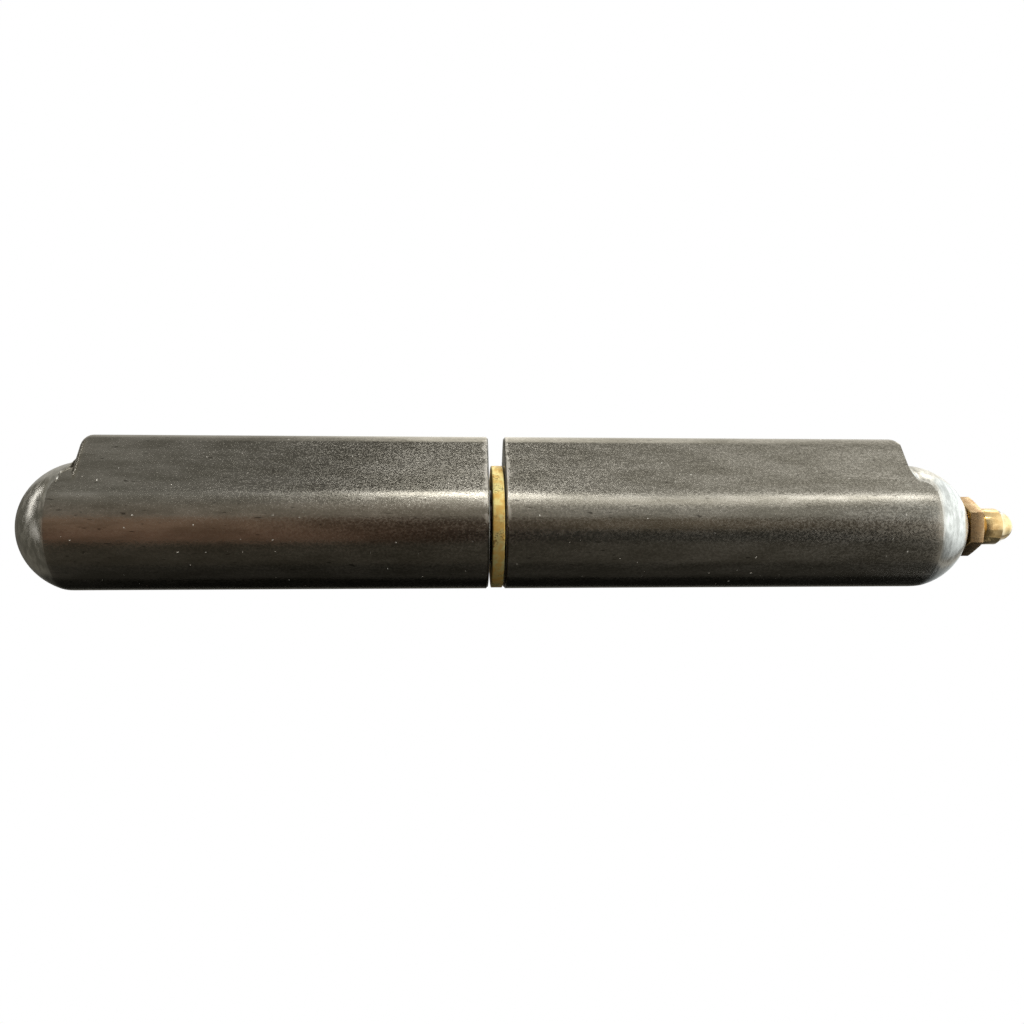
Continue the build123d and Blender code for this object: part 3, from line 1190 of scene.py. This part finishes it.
    def light_material(self, name: str, color: str, axis: str,
                       levels: Sequence[tuple[float, float]]) -> Material:
        """Makes a card's own light, which rises and falls along it.

        Args:
            name: The card's name.
            color: Colour of its light.
            axis: Axis that the light changes along.
            levels: Places along that axis, and the light at each.

        Returns:
            The material.
        """
        material, tree = new_material(name)
        place = add_node(tree, "TexCoord").outputs["Object"]
        along = add_node(tree, "SeparateXYZ", {}, {0: place}).outputs[axis]
        first, last = levels[0][0], levels[-1][0]
        peak = max(level for _, level in levels)
        share = add_node(tree, "MapRange", {}, {"Value": along, "From Min": first, "From Max": last})
        ramp = add_node(tree, "ValToRGB", {}, {0: share})
        stops = ramp.color_ramp.elements
        stops.remove(stops[0])
        for i, (where, level) in enumerate(levels):
            at = (where - first) / (last - first)
            stop = stops[0] if i == 0 else stops.new(at)
            stop.position = at
            stop.color = (level / peak, level / peak, level / peak, 1)
        strength = add_node(tree, "Math", {"operation": "MULTIPLY"}, {0: ramp, 1: peak})
        light = add_node(tree, "Emission", {}, {"Color": linear(color), "Strength": strength})
        add_node(tree, "OutputMaterial", {}, {"Surface": light})
        return material

    def hang(self, name: str, place: Vector, turn: Sequence[float], size: tuple[float, float],
             light: Material) -> None:
        """Hangs a flat card that only lights the hinge and shows in it.

        Args:
            name: The card's name.
            place: Its middle.
            turn: Its rotation.
            size: Its width and its length.
            light: Its material.
        """
        start_primitive()
        bpy.ops.mesh.primitive_plane_add(size=1, location=place, rotation=turn)
        sheet = bpy.context.object
        sheet.name = name
        sheet.scale = (*size, 1)
        bpy.ops.object.transform_apply(location=True, rotation=True, scale=True)
        sheet.data.materials.append(light)
        sheet.visible_camera = False
        sheet.visible_shadow = False

    def hang_side_card(self, card: SideCard) -> None:
        """Hangs a card beside the hinge, edge to edge with its neighbours.

        Args:
            card: The card.
        """
        turns = [radians(angle) for angle in (card.low, card.high)]
        edges = [Vector((-sin(t), -cos(t), 0)) * self.distance for t in turns]
        middle = (edges[0] + edges[1]) / 2
        low, high = card.levels[0][0], card.levels[-1][0]
        light = self.light_material(card.name, card.color, "Z", card.levels)
        self.hang(card.name, middle + Vector((0, 0, (low + high) / 2)),
                  middle.to_track_quat("Z", "Y").to_euler(),
                  ((edges[1] - edges[0]).length, high - low), light)

    def hang_end_card(self, card: EndCard) -> None:
        """Hangs a card beyond an end of the hinge."""
        light = self.light_material(card.name, card.color, "X", card.levels)
        self.hang(card.name, Vector((*card.place, card.z)), (0, 0, radians(card.turn)), card.size, light)

    def lay_floor(self) -> None:
        """Lays the pale floor well below the hinge, which hangs by its weld."""
        start_primitive()
        bpy.ops.mesh.primitive_plane_add(size=self.floor_size, location=(0, 0, self.floor_z))
        floor = bpy.context.object
        floor.name = "floor"
        bpy.ops.object.transform_apply(location=True, rotation=True, scale=True)
        material, tree = new_material("pale_floor")
        cloud = self.floor_cloud.add(tree, object_place(tree))
        tone = laid_over(tree, self.floor_light, self.floor_dark, cloud)
        paint = add_node(tree, "BsdfPrincipled", {}, {"Base Color": tone, "Roughness": self.floor_roughness})
        add_node(tree, "OutputMaterial", {}, {"Surface": paint})
        floor.data.materials.append(material)
        floor.visible_glossy = False

    def light_world(self) -> None:
        """Makes the surroundings white to the camera, to metal and through glass, and soft elsewhere."""
        world = bpy.data.worlds.new("studio")
        bpy.context.scene.world = world
        world.use_nodes = True
        tree = world.node_tree
        tree.nodes.clear()
        path = add_node(tree, "LightPath").outputs
        seen = path["Is Camera Ray"]
        for ray in ("Is Glossy Ray", "Is Transmission Ray"):
            seen = add_node(tree, "Math", {"operation": "MAXIMUM"}, {0: seen, 1: path[ray]})
        soft = add_node(tree, "Background", {},
                        {"Color": linear(self.soft_white), "Strength": self.soft_level})
        white = add_node(tree, "Background", {}, {"Color": linear("FFFFFF"), "Strength": 1.0})
        both = add_node(tree, "MixShader", {}, {0: seen, 1: soft, 2: white})
        add_node(tree, "OutputWorld", {}, {"Surface": both})

    def build(self) -> None:
        """Sets up the whole studio."""
        for card in self.side_cards:
            self.hang_side_card(card)
        for card in self.end_cards:
            self.hang_end_card(card)
        self.lay_floor()
        self.light_world()
        log.info("studio: %d cards", len(self.side_cards) + len(self.end_cards))


@dataclass
class Camera:
    """The camera in front of the hinge, which lies across the view with its wings up."""

    place: tuple[float, float, float] = (-0.0057517, -0.1580373, -0.0072850)
    right: tuple[float, float, float] = (-0.0019555, -0.0648176, 0.9978952)
    up: tuple[float, float, float] = (-0.9998021, 0.0198843, -0.0006677)
    back: tuple[float, float, float] = (-0.0197992, -0.9976990, -0.0648436)
    lens: float = 31.097        # focal length and sensor width, in millimetres
    sensor: float = 36.0
    nearest: float = 0.01
    farthest: float = 20.0

    def build(self) -> None:
        """Puts the camera in the scene."""
        data = bpy.data.cameras.new("camera")
        data.lens = self.lens
        data.sensor_width = self.sensor
        data.clip_start = self.nearest
        data.clip_end = self.farthest
        camera = bpy.data.objects.new("camera", data)
        bpy.context.scene.collection.objects.link(camera)
        turn = Matrix((self.right, self.up, self.back)).transposed().to_4x4()
        camera.matrix_world = Matrix.Translation(self.place) @ turn
        bpy.context.scene.camera = camera


def main() -> None:
    """Builds the studio, the camera and the hinge."""
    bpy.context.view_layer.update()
    bpy.context.scene.view_settings.view_transform = "Standard"
    Studio().build()
    Camera().build()

    bar = DrawnBar()
    skin = DrawnSteel().make()
    bright = TurnedSteel().make()
    leaves = (
        PinLeaf("drawn_pin_leaf", "pin_leaf", bar, outward=-1, length=80.5, bore_radius=6.51),
        SocketLeaf("drawn_socket_leaf", "socket_leaf", bar, outward=1, length=84.5, bore_radius=6.55),
    )
    for leaf in leaves:
        leaf.dress(leaf.model(), skin, bright)

    washer = ThrustWasher()
    washer_brass = Brass("washer_brass", "FFF6B0", "F4CE76", Speckle(1.6, 0.36, 0.64, 4.0),
                         roughness=(0.4, 0.54), freckle_share=0.7, metal=0.78)
    washer.dress(washer.model(), washer_brass.make())
    ground = GroundSteel().make()
    pin = HingePin()
    pin.dress(pin.model(), ground)
    fitting = GreaseFitting()
    turned_brass = Brass("turned_brass", "E0C896", "CCAE78", Speckle(1.4, 0.36, 0.64, 4.0),
                         roughness=(0.1, 0.2))
    hexagon_brass = Brass("drawn_brass_hexagon", "DCC29A", "BC9C74", Speckle(1.0, 0.36, 0.64, 4.0),
                          roughness=(0.24, 0.36), line=Speckle(0.1), line_run=(2, 2, 30), line_share=0.6)
    fitting.dress(fitting.model(), turned_brass.make(), hexagon_brass.make())
    CheckValve().dress(ground)


if __name__ == "__main__":
    logging.basicConfig(level=logging.INFO, format="%(name)s %(message)s")
    main()
